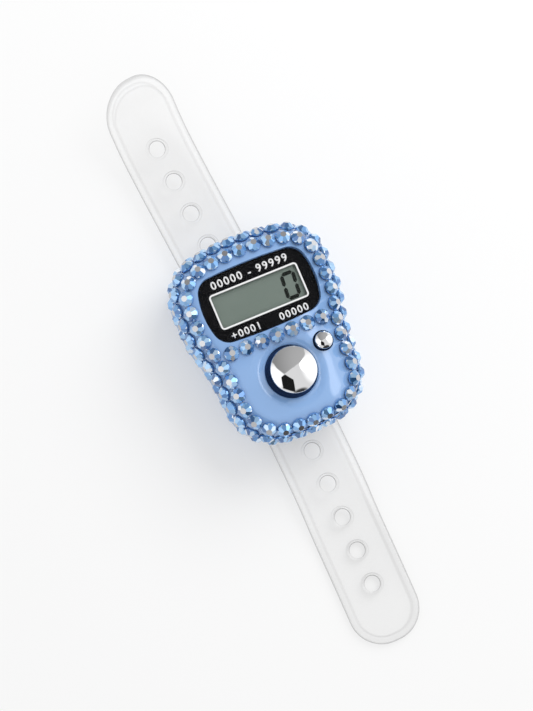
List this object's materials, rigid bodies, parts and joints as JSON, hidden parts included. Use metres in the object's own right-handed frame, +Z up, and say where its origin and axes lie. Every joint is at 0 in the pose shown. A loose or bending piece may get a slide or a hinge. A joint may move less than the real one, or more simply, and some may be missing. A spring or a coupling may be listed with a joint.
{
  "type": "digital tasbih counter",
  "caption": "Finger-worn digital tally counter: gloss shield-shaped case set with crystals, display window, chrome count and reset buttons, and a clear perforated strap through a rear slot.",
  "frame": {"origin": "on the plane that the case stands on, under the middle of the case's outline between the display and the buttons", "axes": "+X to the right of the display, +Y from the buttons towards the display, +Z up out of the face"},
  "size_m": [0.0326, 0.1185, 0.017],
  "materials": {
    "blue_plastic": "polished light blue",
    "clear_lens": "polished clear acrylic over the black border",
    "black_print": "black ink",
    "polariser_film": "grey-green film",
    "display_glass": "clear",
    "reflector_foil": "satin",
    "carrier_plastic": "moulded",
    "black_rubber": "matt",
    "board_laminate": "solder mask",
    "black_epoxy": "gloss",
    "cell_steel": "polished",
    "spring_steel": "bright",
    "chrome_plating": "mirror plating on plastic",
    "grey_silicone": "soft matt",
    "screw_steel": "zinc plated",
    "clear_silicone": "clear, soft",
    "blue_crystal": "faceted, foil back"
  },
  "bodies": {
    "case": {"upper_housing": "blue_plastic", "lower_housing": "blue_plastic", "display_window": "clear_lens", "window_print": "black_print", "lcd_polariser": "polariser_film", "lcd_front_glass": "display_glass", "lcd_rear_glass": "display_glass", "lcd_reflector": "reflector_foil", "display_carrier": "carrier_plastic", "zebra_strip": "black_rubber", "main_board": "board_laminate", "counter_chip": "black_epoxy", "button_cell": "cell_steel", "positive_contact": "spring_steel", "negative_contact": "spring_steel", "count_dome": "grey_silicone", "reset_dome": "grey_silicone", "case_screws": "screw_steel", "board_screws": "screw_steel", "stones_face_ring": "blue_crystal", "stones_shoulder": "blue_crystal", "stones_wall": "blue_crystal", "stones_divider": "blue_crystal"},
    "count_button": {"count_button": "chrome_plating"},
    "reset_button": {"reset_button": "chrome_plating"},
    "strap": {"strap": "clear_silicone"}
  },
  "joints": [
    {"name": "count_press", "type": "slide", "parent": "case", "child": "count_button", "axis": [0, 0, -1], "range_m": [0, 0.0009], "stiffness_N_per_m": 900, "springref_m": -0.0008, "deforming": ["count_dome"]},
    {"name": "reset_press", "type": "slide", "parent": "case", "child": "reset_button", "axis": [0, 0, -1], "range_m": [0, 0.0007], "stiffness_N_per_m": 800, "springref_m": -0.0008, "deforming": ["reset_dome"]},
    {"name": "strap_slide", "type": "slide", "parent": "case", "child": "strap", "axis": [-0.0645, 0.9979, 0], "range_m": [-0.007, 0.007]}
  ]
}
